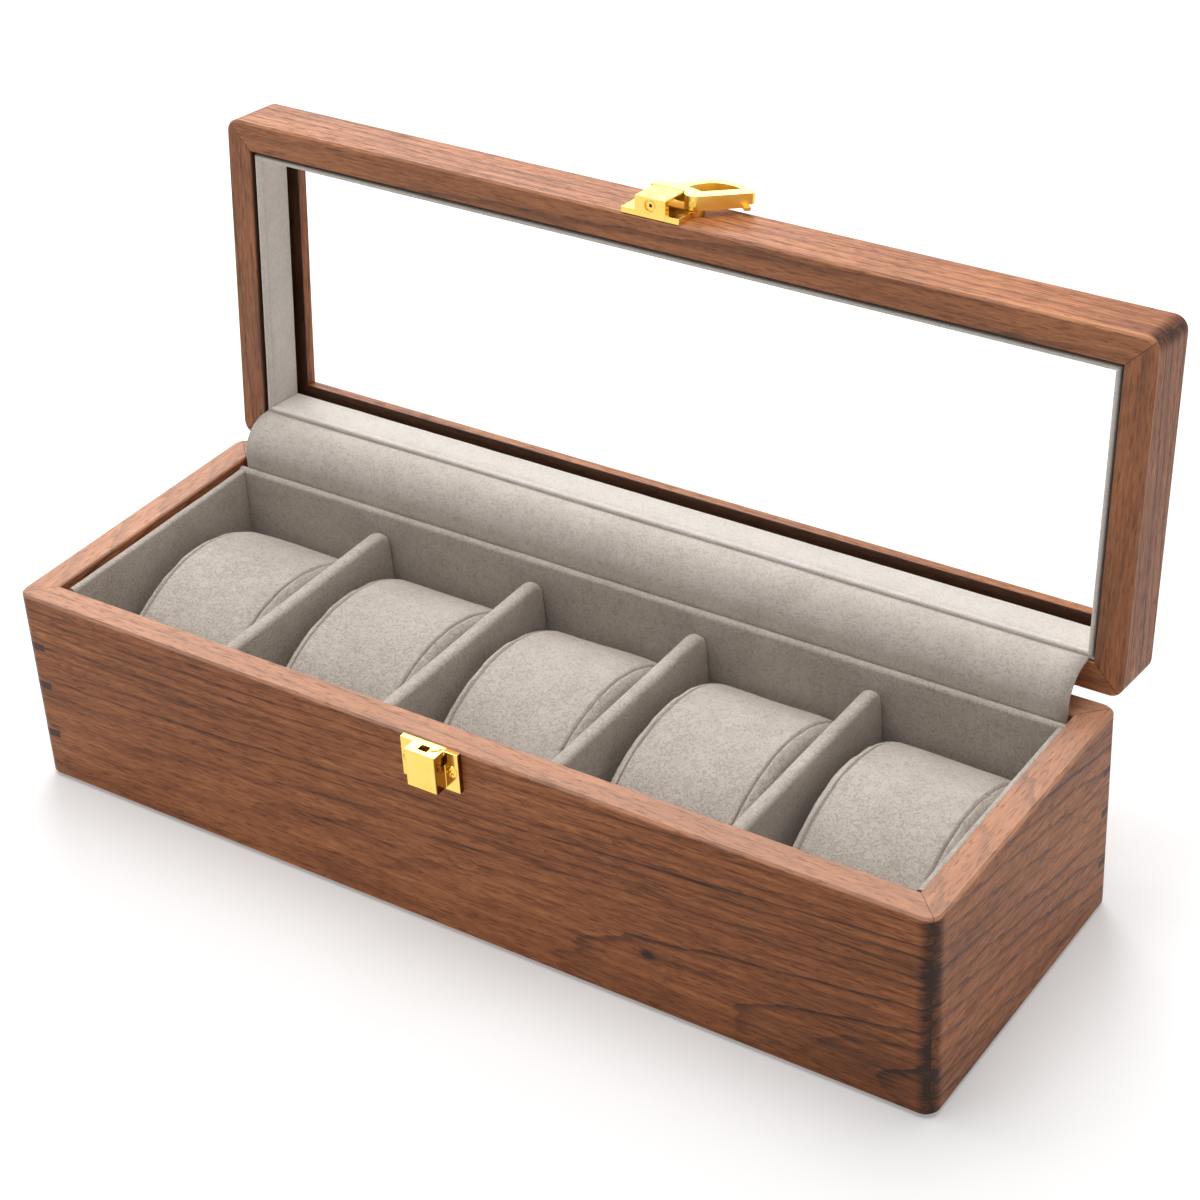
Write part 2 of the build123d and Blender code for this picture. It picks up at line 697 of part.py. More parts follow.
for name, shape in pieces.items():
    export_step(shape, f"parts/{name}.step")
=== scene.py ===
"""A walnut watch box with an open glazed lid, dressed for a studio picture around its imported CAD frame."""
import json
import math

import bmesh
import bpy
from mathutils import Matrix, Vector, noise


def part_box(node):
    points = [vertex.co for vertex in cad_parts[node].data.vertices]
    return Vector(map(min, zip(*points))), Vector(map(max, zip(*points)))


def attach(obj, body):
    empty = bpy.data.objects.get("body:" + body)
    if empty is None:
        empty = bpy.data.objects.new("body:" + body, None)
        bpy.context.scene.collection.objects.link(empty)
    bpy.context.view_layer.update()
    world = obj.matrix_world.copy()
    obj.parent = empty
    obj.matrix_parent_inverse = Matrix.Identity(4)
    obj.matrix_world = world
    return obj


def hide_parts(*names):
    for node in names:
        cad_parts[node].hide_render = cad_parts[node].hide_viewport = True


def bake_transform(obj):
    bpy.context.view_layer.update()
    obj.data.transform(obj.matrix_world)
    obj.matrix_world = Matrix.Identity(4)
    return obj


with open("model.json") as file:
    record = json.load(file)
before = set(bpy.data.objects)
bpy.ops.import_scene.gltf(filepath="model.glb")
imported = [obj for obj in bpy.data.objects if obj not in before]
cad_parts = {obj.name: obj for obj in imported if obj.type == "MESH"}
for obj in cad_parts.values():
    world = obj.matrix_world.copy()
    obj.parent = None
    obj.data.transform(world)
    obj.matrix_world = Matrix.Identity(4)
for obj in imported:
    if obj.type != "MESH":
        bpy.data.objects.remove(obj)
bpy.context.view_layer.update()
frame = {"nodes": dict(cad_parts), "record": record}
scene = bpy.context.scene
nodes = frame["nodes"]
body_of = {node: body for body, group in frame["record"]["behaviour"]["bodies"].items() for node in group}

# Directions, and the lid's turn from closed to the open rest pose

MM = 0.001
TOUCH, SAME = 0.01 * MM, 0.001 * MM
X, Y, Z = Vector((1, 0, 0)), Vector((0, 1, 0)), Vector((0, 0, 1))
HINGE = Vector((0, 56.2, 69.15)) * MM
LID_ANGLE = 95.6
LID_TURN = Matrix.Rotation(math.radians(-LID_ANGLE), 3, "X")
LID_OPEN = Matrix.Translation(HINGE) @ LID_TURN.to_4x4() @ Matrix.Translation(-HINGE)
HALF_LENGTH, HALF_WIDTH = 160 * MM, 55 * MM
PITCH = 60 * MM
PILLOW_SEAM = 4.2 * MM


def low(node):
    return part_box(node)[0]


def high(node):
    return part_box(node)[1]


def closed_box(node):
    """A lid node's lowest and highest corners with the lid drawn closed."""
    back = LID_OPEN.inverted()
    points = [back @ vertex.co for vertex in nodes[node].data.vertices]
    return Vector(map(min, zip(*points))), Vector(map(max, zip(*points)))


# Tools for materials


class Tone:
    """One value or colour on its way through a recipe's nodes."""

    def __init__(self, recipe, socket):
        self.recipe, self.socket = recipe, socket

    def __add__(self, other):
        return self.recipe.sum("ADD", self, other)

    def __sub__(self, other):
        return self.recipe.sum("SUBTRACT", self, other)

    def __mul__(self, other):
        return self.recipe.sum("MULTIPLY", self, other)

    def __pow__(self, other):
        return self.recipe.sum("POWER", self, other)

    def __rsub__(self, other):
        return self.recipe.sum("SUBTRACT", other, self)

    def __abs__(self):
        return self.recipe.sum("ABSOLUTE", self)

    __radd__, __rmul__ = __add__, __mul__


class Recipe:
    """A node tree and the few tools that it is written with."""

    def __init__(self, tree):
        self.tree = tree

    def put(self, socket, value):
        """Feed a socket with a number, a colour or another node."""
        if isinstance(value, Tone):
            self.tree.links.new(value.socket, socket)
        elif hasattr(value, "__len__"):
            socket.default_value = (tuple(value) + (1.0,))[:len(socket.default_value)]
        else:
            socket.default_value = value

    def node(self, kind, settings=None, sockets=None, out=0):
        """Add one node: its settings first, then what its sockets hold."""
        made = self.tree.nodes.new(kind)
        for key, value in (settings or {}).items():
            if key == "stops":
                ramp = made.color_ramp
                while len(ramp.elements) < len(value):
                    ramp.elements.new(0.5)
                for element, (place, colour) in zip(ramp.elements, value):
                    element.position, element.color = place, (*colour, 1)
            else:
                setattr(made, key, value)
        for key, value in (sockets or {}).items():
            self.put(made.inputs[key], value)
        return Tone(self, made.outputs[out]) if made.outputs else None

    def sum(self, operation, *values):
        return self.node("ShaderNodeMath", {"operation": operation}, dict(enumerate(values)))

    def place(self, axes, origin=(0, 0, 0)):
        """Object coordinates along each of the given axes, from an origin."""
        here = self.node("ShaderNodeTexCoord", out="Object")
        here = self.node("ShaderNodeVectorMath", {"operation": "SUBTRACT"}, {0: here, 1: origin})
        return [
            self.node("ShaderNodeVectorMath", {"operation": "DOT_PRODUCT"}, {0: here, 1: axis}, out="Value")
            for axis in axes
        ]

    def join(self, x, y, z):
        return self.node("ShaderNodeCombineXYZ", {}, {0: x, 1: y, 2: z})

    def grainy(self, where, scale, detail=2.0, roughness=0.5, distortion=0.0):
        """Soft noise between about 0.2 and 0.8."""
        return self.node("ShaderNodeTexNoise", {}, {
            "Vector": where, "Scale": scale, "Detail": detail, "Roughness": roughness,
            "Distortion": distortion,
        })

    def step(self, value, start, stop):
        """A smooth rise from 0 at the start to 1 at the stop."""
        return self.node("ShaderNodeMapRange", {"interpolation_type": "SMOOTHSTEP"}, {
            "Value": value, "From Min": start, "From Max": stop,
        })

    def ramp(self, factor, stops):
        return self.node("ShaderNodeValToRGB", {"stops": stops}, {0: factor})

    def mix(self, factor, first, second):
        return self.node("ShaderNodeMix", {"data_type": "RGBA"}, {0: factor, 6: first, 7: second}, out=2)

    def bump(self, height, strength, distance):
        return self.node(
            "ShaderNodeBump", {}, {"Strength": strength, "Distance": distance, "Height": height})

    def seen(self):
        """How surely a ray comes from the camera, straight or by way of metal or glass."""
        rays = ("Is Camera Ray", "Is Glossy Ray", "Is Transmission Ray")
        return sum((self.node("ShaderNodeLightPath", out=ray) for ray in rays), 0)


class Finish(Recipe):
    """A material's recipe, which ends in one shader."""

    def __init__(self, name):
        self.material = bpy.data.materials.new(name)
        self.material.use_nodes = True
        super().__init__(self.material.node_tree)
        self.shader = next(n for n in self.tree.nodes if n.type == "BSDF_PRINCIPLED")

    def finish(self, **sockets):
        for name, value in sockets.items():
            self.put(self.shader.inputs[name.replace("_", " ")], value)
        return self.material


def linear(red, green, blue):
    """A colour as seen, on the 0 to 255 scale, as the linear colour that shaders use."""
    return tuple(
        v / 12.92 if v <= 0.04045 else ((v + 0.055) / 1.055) ** 2.4
        for v in (red / 255, green / 255, blue / 255)
    )


def dress(obj, material):
    obj.data.materials.clear()
    obj.data.materials.append(material)


# Walnut: the figure's grains, each with its squeeze along the board, scale, detail, roughness, distortion

GRAIN = {
    "wander": (0.14, 15.0, 1.0),
    "drift": (0.1, 20.0, 1.0),
    "waver": (0.16, 130.0, 3.0, 0.6),
    "streaks": (0.05, 330.0, 4.0, 0.6),
    "lines": (0.025, 620.0, 3.0, 0.6),
    "fibres": (0.10, 1700.0, 3.0, 0.62),
    "pores": (0.10, 2100.0, 1.0, 0.5, 0.4),
    "glow": (0.35, 45.0, 3.0, 0.6),
    "blotch": (0.6, 110.0, 2.0),
}
HEART_WANDER = 10 * MM
WALNUT_TONES = (
    (0.0, linear(205, 137, 82)), (0.30, linear(175, 107, 61)), (0.58, linear(135, 77, 41)),
    (0.85, linear(87, 49, 27)), (1.0, linear(50, 29, 18)),
)
PAINTED_RIM_SHEEN, PORE_BROWN = linear(226, 180, 154), linear(74, 43, 28)
MITRE_BROWN, PAINTED_BEZEL_SHADE = linear(60, 38, 27), linear(46, 31, 23)

# Where each band on a board begins and where it is full, with the lid drawn closed

CASE_RIM = (67.6 * MM, 68.6 * MM)
LID_RIM = (71.4 * MM, 70.4 * MM)
CORNER = (-6.2 * MM, -1.2 * MM)
DARKEST_CORNER = (150 * MM, 200 * MM)
MITRE_LINE = (0.30 * MM, 0.08 * MM)
WINDOW_SIDE = (-9.1 * MM, -9.6 * MM)
WINDOW_TOP = (86.8 * MM, 86.4 * MM)


def late_wood(wood, up, back, rings, waver):
    """The dark outer line of each growth ring, from how far up and back the log's heart lies."""
    away = (up * up + back * back) ** 0.5
    turns = away * (1 / (rings * MM)) + (waver - 0.5) * 0.9
    ring = wood.sum("FRACT", turns)
    strength = wood.node(
        "ShaderNodeTexWhiteNoise", {"noise_dimensions": "1D"}, {"W": wood.sum("FLOOR", turns)}, out="Value")
    flat = wood.step(wood.sum("DIVIDE", abs(up), away), -0.25, 0.45)
    line = wood.step(ring, 0.5, 0.95) ** 2.4 * wood.step(ring, 1.0, 0.96)
    return line * (strength * 0.75 + 0.25) * flat


def walnut(node, heart, rings, curve=0.0, lean=0.0, tone=0.0, spots=()):
    """Oiled walnut for one board of a mitred frame.

    heart is the log's heart line, in mm above the base's foot and behind the board's face. rings is their
    spacing in mm, lean tilts them, and curve brings the heart nearer the face along the board, which draws
    the arches of a flat-sawn board. Each spot is a darker patch: its place and size along and up the board
    in mm, and its depth.
    """
    wood = Finish("walnut_" + node)
    lid = node.startswith("lid")
    turn = LID_TURN if lid else Matrix.Identity(3)
    x, y, z = wood.place([turn @ axis for axis in (X, Y, Z)], HINGE - turn @ HINGE)
    endways = "left" in node or "right" in node
    side = 1 if "right" in node or "back" in node else -1
    run, depth, face = (y, x * side, HALF_LENGTH) if endways else (x, y * side, HALF_WIDTH)

    def grain(kind, lift=0.0):
        squeeze, scale, *fineness = GRAIN[kind]
        return wood.grainy(wood.join(run * squeeze, z + lift, depth), scale, *fineness)

    up = z - heart[0] * MM + run * lean + (grain("wander") - 0.5) * HEART_WANDER
    arch = (run + HALF_LENGTH) ** 2 * curve
    back = depth + (heart[1] * MM - face) - arch + (grain("drift", lift=3.7) - 0.5) * HEART_WANDER
    late = late_wood(wood, up, back, rings, grain("waver"))
    lines = wood.step(grain("lines", lift=0.3), 0.54, 0.70)
    fibres, pore = grain("fibres"), wood.step(grain("pores"), 0.56, 0.66)
    shade = (
        late * 0.44 + (grain("streaks") - 0.5) * 0.80 + lines * 0.16 + (fibres - 0.5) * 0.80
        + (grain("glow") - 0.5) * 0.55 + (0.36 + tone)
    )
    for along, height, wide, tall, dark in spots:
        off = ((run - along * MM) * (1 / (wide * MM))) ** 2 + ((z - height * MM) * (1 / (tall * MM))) ** 2
        shade = shade + wood.sum("EXPONENT", off * -1) * dark

    from_end, from_front = abs(x) - HALF_LENGTH, abs(y) - HALF_WIDTH
    rim = wood.step(z, *(LID_RIM if lid else CASE_RIM))
    corner = wood.step(from_end, *CORNER) * wood.step(from_front, *CORNER)
    # Darker, with blotches, on the rounded upright corners below the rim, and most on the front right one.
    corner_darkening = grain("blotch") * 0.8 + wood.step(x - y, *DARKEST_CORNER) * 0.34 - 0.22
    colour = wood.ramp(shade + corner * (1 - rim) * corner_darkening, WALNUT_TONES)
    # Painted sheen: the rims are drawn paler and pinker to stand in for the lamps' glare on their top faces,
    # the lid's less than the case's.
    colour = wood.mix(rim * (0.16 if lid else 0.40), colour, PAINTED_RIM_SHEEN)
    colour = wood.mix(pore * (0.55 - rim * 0.2), colour, PORE_BROWN)
    seam = wood.step(abs(from_end - from_front), *MITRE_LINE)
    colour = wood.mix(seam * (rim * 0.55 + 0.06), colour, MITRE_BROWN)
    if lid:
        # Painted shade: the bezel's underside round the window, seen through the glass, is drawn dark brown
        # where shade falls under it.
        window = wood.step(from_end, *WINDOW_SIDE) * wood.step(from_front, *WINDOW_SIDE)
        colour = wood.mix(window * wood.step(z, *WINDOW_TOP) * 0.85, colour, PAINTED_BEZEL_SHADE)
    return wood.finish(
        Base_Color=colour, Roughness=0.46 + (fibres - 0.5) * 0.25 + pore * 0.12,
        Normal=wood.bump(fibres * 0.4 - pore, 0.3, 0.12 * MM), Specular_IOR_Level=0.25,
    )


# Velvet, gilt brass, glass and plain stuff

STITCH_BROWN, STITCH_LINE = linear(92, 82, 73), (0.55 * MM, 0.1 * MM)
PAINTED_RECESS_REFLECTION = linear(112, 58, 10)
RECESS_SIDE = (4.9 * MM, 5.2 * MM)
RECESS_DEPTH = (0.12 * MM, 0.3 * MM)
KEEPER_FACE = -56.8 * MM


def velvet(name, colour, deep, pile=1.0, seam=None):
    """Short-pile cloth: a soft mottle where the pile leans, worm-like curls in it and a sheen at its edges.

    A seam is drawn at this distance from each compartment's middle.
    """
    weave = Finish(name)
    here = weave.node("ShaderNodeTexCoord", out="Object")
    lean = weave.grainy(here, 60.0, 3.0, 0.6)
    curls = weave.grainy(here, 520.0, 1.0, 0.5, 1.2)
    curl = weave.step(abs(curls - 0.5), 0.075, 0.01)
    fuzz = weave.grainy(here, 2300.0, 2.0, 0.6)
    shade = weave.node("ShaderNodeMapRange", {}, {
        "Value": lean * 0.25 - curl * 0.14 + fuzz * 0.28, "From Min": 0.08, "From Max": 0.38,
    })
    tint = weave.mix(shade, deep, colour)
    if seam:
        x, = weave.place((X,))
        across = abs(weave.sum("FRACT", x * (1 / PITCH) + 0.5) - 0.5) * PITCH
        tint = weave.mix(weave.step(abs(across - seam), *STITCH_LINE) * 0.6, tint, STITCH_BROWN)
    return weave.finish(
        Base_Color=tint, Roughness=0.95, Specular_IOR_Level=0.2,
        Normal=weave.bump(fuzz * 0.5 - curl * 0.7, 0.4 * pile, 0.3 * MM),
        Sheen_Weight=0.35, Sheen_Roughness=0.45, Sheen_Tint=(0.9, 0.87, 0.83),
    )


def gold(name, paint_recess_reflection=False, matt=0.0):
    """Polished gilt brass with faint wipe marks, and a painted dark reflection and shade in the keeper's
    recess.
    """
    brass = Finish(name)
    here = brass.node("ShaderNodeTexCoord", out="Object")
    wipes = brass.grainy(here, 240.0, 3.0, 0.6)
    specks = brass.grainy(here, 1600.0, 2.0, 0.5)
    colour = brass.mix(wipes, linear(253, 208, 92), linear(255, 228, 136))
    if paint_recess_reflection:
        # Painted reflection and shade: the keeper's recess beside its block is drawn dark bronze, where the
        # polished flange mirrors the block's dark side.
        x, y = brass.place((X, Y))
        recess = brass.step(x, *RECESS_SIDE) * brass.step(abs(y - KEEPER_FACE), *RECESS_DEPTH)
        colour = brass.mix(recess * 0.9, colour, PAINTED_RECESS_REFLECTION)
    return brass.finish(
        Base_Color=colour, Metallic=1.0, Roughness=wipes * 0.12 + specks * 0.03 + (0.08 + matt),
        Normal=brass.bump(wipes, 0.05, 0.2 * MM),
    )


def glass(name):
    """Clear float glass that lets light straight through."""
    return Finish(name).finish(
        Base_Color=(1, 1, 1), Roughness=0.0, IOR=1.0, Transmission_Weight=1.0, Alpha=0.06)


def plain(name, colour, roughness, stretch=1.0):
    """A quiet board or cloth with a mottle, drawn out along its length where it has a grain."""
    stuff = Finish(name)
    x, y, z = stuff.place((X, Y, Z))
    mottle = stuff.grainy(stuff.join(x * stretch, y, z), 300.0, 4.0, 0.6)
    dark, light = (tuple(v * share for v in colour) for share in (0.62, 1.2))
    return stuff.finish(
        Base_Color=stuff.mix(mottle, dark, light), Roughness=roughness,
        Normal=stuff.bump(mottle, 0.15, 0.3 * MM), Specular_IOR_Level=0.3,
    )


PILLOW_HALF = (high("pillow_1") - low("pillow_1")).x / 2
board_cloth = velvet("greige_velvet", linear(209, 199, 190), linear(170, 160, 149))
pillow_cloth = velvet(
    "pillow_velvet", linear(211, 202, 193), linear(172, 162, 151), pile=1.3, seam=PILLOW_HALF - PILLOW_SEAM)
# Painted light: the lid's lining and the hinge flap are the boards' greige velvet drawn lighter, standing in
# for more light falling on them.
lid_cloth = velvet("lid_velvet_painted_light", linear(242, 235, 228), linear(222, 214, 205))
flap_cloth = velvet("flap_velvet_painted_light", linear(226, 217, 208), linear(192, 182, 172))
polished = gold("polished_gold")
keeper_gold = gold("gold_with_painted_recess_reflection", paint_recess_reflection=True)
satin = gold("satin_gold", matt=0.2)

# Piece tools


def add(name, mesh):
    """Link a new object that holds a bmesh's shape, and free the bmesh."""
    data = bpy.data.meshes.new(name)
    mesh.to_mesh(data)
    mesh.free()
    obj = bpy.data.objects.new(name, data)
    scene.collection.objects.link(obj)
    return obj


def piece(name, mesh, material, slot, *stands_for, body=None, sharp=40.0):
    """Turn a bmesh into a finished object that stands for CAD nodes and rides on their body."""
    bmesh.ops.recalc_face_normals(mesh, faces=mesh.faces)
    for face in mesh.faces:
        face.smooth = True
    obj = add(name, mesh)
    obj.data.set_sharp_from_angle(angle=math.radians(sharp))
    dress(obj, material)
    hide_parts(*stands_for)
    if body != "blend":
        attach(obj, body_of[stands_for[0]])
    return obj


def evaluated_mesh(obj):
    """The mesh that an object's modifiers give."""
    graph = bpy.context.evaluated_depsgraph_get()
    graph.update()
    return bpy.data.meshes.new_from_object(obj.evaluated_get(graph))


def block(lowest, highest):
    """A bmesh box between two corners."""
    mesh = bmesh.new()
    bmesh.ops.create_cube(mesh, size=1.0)
    bmesh.ops.scale(mesh, vec=highest - lowest, verts=mesh.verts)
    bmesh.ops.translate(mesh, vec=(highest + lowest) / 2, verts=mesh.verts)
    return mesh


def ease(mesh, chosen, width, segments):
    """Round the chosen edges."""
    bmesh.ops.bevel(
        mesh, geom=[edge for edge in mesh.edges if chosen(edge)], offset=width, offset_type="OFFSET",
        segments=segments, profile=0.5, affect="EDGES", material=-1, clamp_overlap=True,
    )


def middle(edge):
    return (edge.verts[0].co + edge.verts[1].co) / 2


def runs_along(edge, axis):
    return abs((edge.verts[1].co - edge.verts[0].co).normalized().dot(axis)) > 0.99


def cut(mesh, place, axis, **clear):
    return bmesh.ops.bisect_plane(
        mesh, geom=mesh.verts[:] + mesh.edges[:] + mesh.faces[:], plane_co=place, plane_no=axis, **clear)


def cut_every(mesh, axis, step):
    """Cross cuts along an axis, so that cloth can waver."""
    values = [v.co.dot(axis) for v in mesh.verts]
    start, stop = min(values), max(values)
    count = int((stop - start) / step)
    for i in range(1, count):
        cut(mesh, axis * (start + i * (stop - start) / count), axis)


def waver(mesh, depth, scale, seed):
    """Let covered faces waver inwards by up to a depth, as cloth glued over board does."""
    mesh.normal_update()
    for vertex in mesh.verts:
        swell = noise.noise(vertex.co * scale + Vector((seed, seed * 0.7, 0)))
        vertex.co -= vertex.normal * depth * (0.5 + 0.5 * swell)


# Wooden case and lid

WALNUT = {
    "base_front_wall": dict(
        heart=(6, 62), rings=2.7, curve=0.19,
        spots=(
            (70, 20.7, 1.9, 1.3, 0.75), (71, 20.7, 8, 2.4, 0.2),
            # The next line's first patch, broad at the lower right, darkens the wood there and also paints in
            # shade.
            (150, 22, 80, 60, 0.17), (40, 30, 60, 9, 0.05),
        ),
    ),
    "base_right_wall": dict(heart=(-150, 60), rings=6.0, lean=0.25, tone=0.02),
    "base_back_wall": dict(heart=(20, 52), rings=2.7, curve=0.12),
    "base_left_wall": dict(heart=(-120, 70), rings=4.6, lean=-0.2),
    "lid_front_rail": dict(heart=(190, 60), rings=4.0, lean=0.02, tone=-0.03),
    "lid_back_rail": dict(heart=(180, 50), rings=4.0, lean=0.02),
    "lid_left_rail": dict(heart=(-20, 70), rings=3.4, lean=0.05, tone=0.06),
    "lid_right_rail": dict(heart=(200, 60), rings=3.6, lean=-0.06, tone=0.05),
}
for node, board in WALNUT.items():
    dress(nodes[node], walnut(node, **board))
key_wood = plain("dark_key_wood", linear(80, 54, 42), roughness=0.55, stretch=0.2)
for node in nodes:
    if node.startswith("spline_keys"):
        dress(nodes[node], key_wood)
    elif node.startswith(("hinge", "catch", "lever")):
        dress(nodes[node], polished)
dress(nodes["floor_liner"], board_cloth)
dress(nodes["lid_glass"], glass("clear_glass"))
dress(nodes["bottom_panel"], plain("panel_board", linear(150, 120, 92), roughness=0.7, stretch=0.15))
dress(nodes["underside_pad"], plain("underside_cloth", linear(50, 46, 43), roughness=0.95))

# Covered boards

LINER_ROUND = 1.3 * MM
LINER_RISE = 2.4 * MM
LINER_WAVER = 0.22 * MM
DIVIDER_CORNER = 6.0 * MM
DIVIDER_ROUND = 2.1 * MM
DIVIDER_WAVER = 0.25 * MM
CREASE = 0.7 * MM
CLOTH_STEP = 6.0 * MM


def covered_board(node, rise=0.0):
    """A lining board under its cloth: round top edges, creased upright ones, a faint waver."""
    lowest, highest = low(node), high(node) + Z * rise
    mesh = block(lowest, highest)
    long_axis = X if highest.x - lowest.x > highest.y - lowest.y else Y
    ease(mesh, lambda e: middle(e).z > highest.z - TOUCH and runs_along(e, long_axis), LINER_ROUND, 4)
    ease(mesh, lambda e: runs_along(e, Z), CREASE, 2)
    cut_every(mesh, long_axis, CLOTH_STEP)
    cut_every(mesh, Z, CLOTH_STEP)
    waver(mesh, LINER_WAVER, scale=60.0, seed=len(node))
    piece(node + "_cloth", mesh, board_cloth, "velvet", node)


def covered_divider(node):
    """A divider under its cloth: two round top corners and a fully rounded top edge."""
    lowest, highest = low(node), high(node)
    mesh = block(lowest, highest)
    ease(mesh, lambda e: middle(e).z > highest.z - TOUCH and runs_along(e, X), DIVIDER_CORNER, 8)
    top = highest.z - DIVIDER_CORNER - TOUCH
    ease(
        mesh, lambda e: middle(e).z > top and abs(e.verts[0].co.x - e.verts[1].co.x) < SAME,
        DIVIDER_ROUND, 5,
    )
    ease(mesh, lambda e: runs_along(e, Z) and middle(e).z < top, CREASE, 2)
    cut_every(mesh, Y, CLOTH_STEP)
    cut_every(mesh, Z, CLOTH_STEP)
    waver(mesh, DIVIDER_WAVER, scale=55.0, seed=lowest.x * 100)
    piece(node + "_cloth", mesh, board_cloth, "velvet", node)


covered_board("front_liner")
for node in ("back_liner", "left_liner", "right_liner"):
    covered_board(node, LINER_RISE)
for i in range(1, 5):
    covered_divider(f"divider_{i}")

# Lid lining strips

LINING_LIP = 0.77 * MM
LINING_CREASE = 2.3 * MM
LINING_PINCH = 0.4 * MM
LINING_PINCH_REACH = 0.5 * MM
LINING_GAP = 0.9 * MM
LINING_GAP_DEPTH = 5.0 * MM
LINING_WAVER = 0.15 * MM


def lid_lining(side):
    """One covered strip inside the lid, drawn closed: a rolled lip, a pinched crease, mitred ends.

    Its lip stands a little off the rail, which leaves the dark line round the window.
    """
    node = "lid_lining_" + side
    lowest, highest = closed_box(node)
    sign = 1 if side in ("right", "back") else -1
    axis, out = (Y, X * sign) if side in ("left", "right") else (X, Y * sign)
    reach = max(axis.dot(highest), -axis.dot(lowest))
    far = max(out.dot(highest), out.dot(lowest))
    near = min(out.dot(highest), out.dot(lowest))
    mesh = block(lowest, highest)
    crease, gap_top = lowest.z + LINING_CREASE, lowest.z + LINING_GAP_DEPTH
    for z in (crease - LINING_PINCH_REACH, crease, crease + LINING_PINCH_REACH, gap_top):
        cut(mesh, Z * z, Z)
    for vertex in mesh.verts:
        height, outwards = vertex.co.z, vertex.co.dot(out)
        if abs(height - crease) < SAME and outwards < near + TOUCH:
            vertex.co += out * LINING_PINCH
        if side != "back" and height < gap_top - TOUCH and outwards > far - TOUCH:
            vertex.co -= out * LINING_GAP
    ease(mesh, lambda e: runs_along(e, axis) and middle(e).z < lowest.z + TOUCH, LINING_LIP, 4)
    for end in (-1, 1):
        mitre = (axis * end - out).normalized()
        sliced = cut(mesh, axis * (reach * end) + out * far, mitre, clear_outer=True)
        rim = [part for part in sliced["geom_cut"] if isinstance(part, bmesh.types.BMEdge)]
        bmesh.ops.edgeloop_fill(mesh, edges=rim)
    cut_every(mesh, axis, CLOTH_STEP)
    waver(mesh, LINING_WAVER, scale=70.0, seed=len(side))
    bmesh.ops.transform(mesh, matrix=LID_OPEN, verts=mesh.verts)
    piece(node + "_cloth", mesh, lid_cloth, "velvet", node)


for side in ("left", "right", "front", "back"):
    lid_lining(side)

# Pillows

SKIN_SIZE = (0.97, 0.98, 0.975)
VOXEL = 2.2 * MM
SWELL_CAP = 3.0 * MM
END_SWELL = 0.3
SEAM_CUTS = (-1.5, -1.0, -0.5, -0.25, 0.0, 0.25, 0.5, 1.0, 1.5)
SEAM_REACH = 1.8
SEAM_DIP, DIP_SPREAD = 0.5, 0.3
SEAM_ROLL, ROLL_AT, ROLL_SPREAD = 0.1, 1.0, 0.45
SEAM_PUCKER = 0.15
DENT = 0.5 * MM


def relax(mesh, times):
    """Even out a skin's small steps."""
    for _ in range(times):
        bmesh.ops.smooth_vert(
            mesh, verts=mesh.verts, factor=0.5, use_axis_x=True, use_axis_y=True, use_axis_z=True)


def pillow_form(node):
    """The CAD pillow's form, merged, shrunk a little and made an even skin that can swell."""
    mesh = bmesh.new()
    mesh.from_mesh(nodes[node].data)
    bmesh.ops.remove_doubles(mesh, verts=mesh.verts, dist=SAME)
    bmesh.ops.translate(mesh, vec=(low(node) + high(node)) / -2, verts=mesh.verts)
    bmesh.ops.scale(mesh, vec=SKIN_SIZE, verts=mesh.verts)
    obj = add("pillow_skin", mesh)
    remesh = obj.modifiers.new("even", "REMESH")
    remesh.mode = "VOXEL"
    remesh.voxel_size = VOXEL
    form = bmesh.new()
    form.from_mesh(evaluated_mesh(obj))
    relax(form, 9)
    form.to_mesh(obj.data)
    form.free()
    obj.modifiers.clear()
    return obj


def stuff(obj, pressure, steps):
    """Swell a closed skin from inside, and hold each point within a cap of where it began."""
    before = [v.co.copy() for v in obj.data.vertices]
    sim = obj.modifiers.new("stuffing", "CLOTH")
    sim.settings.use_pressure = True
    sim.settings.uniform_pressure_force = pressure
    sim.settings.effector_weights.gravity = 0
    sim.settings.quality = 5
    sim.settings.mass = 0.2
    sim.settings.tension_stiffness = 40
    sim.settings.compression_stiffness = 40
    sim.settings.bending_stiffness = 4
    sim.point_cache.frame_start, sim.point_cache.frame_end = 1, steps
    for step in range(1, steps + 1):
        scene.frame_set(step)
    swollen = evaluated_mesh(obj)
    obj.modifiers.clear()
    scene.frame_set(1)
    for vertex, start in zip(swollen.vertices, before):
        move = vertex.co - start
        move.x *= END_SWELL
        vertex.co = start + move * min(1.0, SWELL_CAP / max(move.length, 1e-9))
    obj.data = swollen


def sew(mesh, at):
    """A sewn seam round the pillow at one x: a pulled-in line, puckered, with cloth rolling up beside it."""
    for away in SEAM_CUTS:
        cut(mesh, X * (at + away * MM), X)
    mesh.normal_update()
    for vertex in mesh.verts:
        away = abs(vertex.co.x - at) / MM
        if away < SEAM_REACH:
            across = Vector((0, vertex.normal.y, vertex.normal.z)).normalized()
            gather = noise.noise(Vector((at * 50, vertex.co.y * 400, vertex.co.z * 400)))
            dip = SEAM_DIP * (1 + SEAM_PUCKER * gather) * math.exp(-(away / DIP_SPREAD) ** 2)
            roll = SEAM_ROLL * math.exp(-((away - ROLL_AT) / ROLL_SPREAD) ** 2)
            vertex.co += across * (roll - dip) * MM


def fit(mesh, size):
    """Stretch a bmesh to a size, centred on the origin."""
    for axis in range(3):
        values = [v.co[axis] for v in mesh.verts]
        start, stop = min(values), max(values)
        for vertex in mesh.verts:
            vertex.co[axis] = ((vertex.co[axis] - start) / (stop - start) - 0.5) * size[axis]


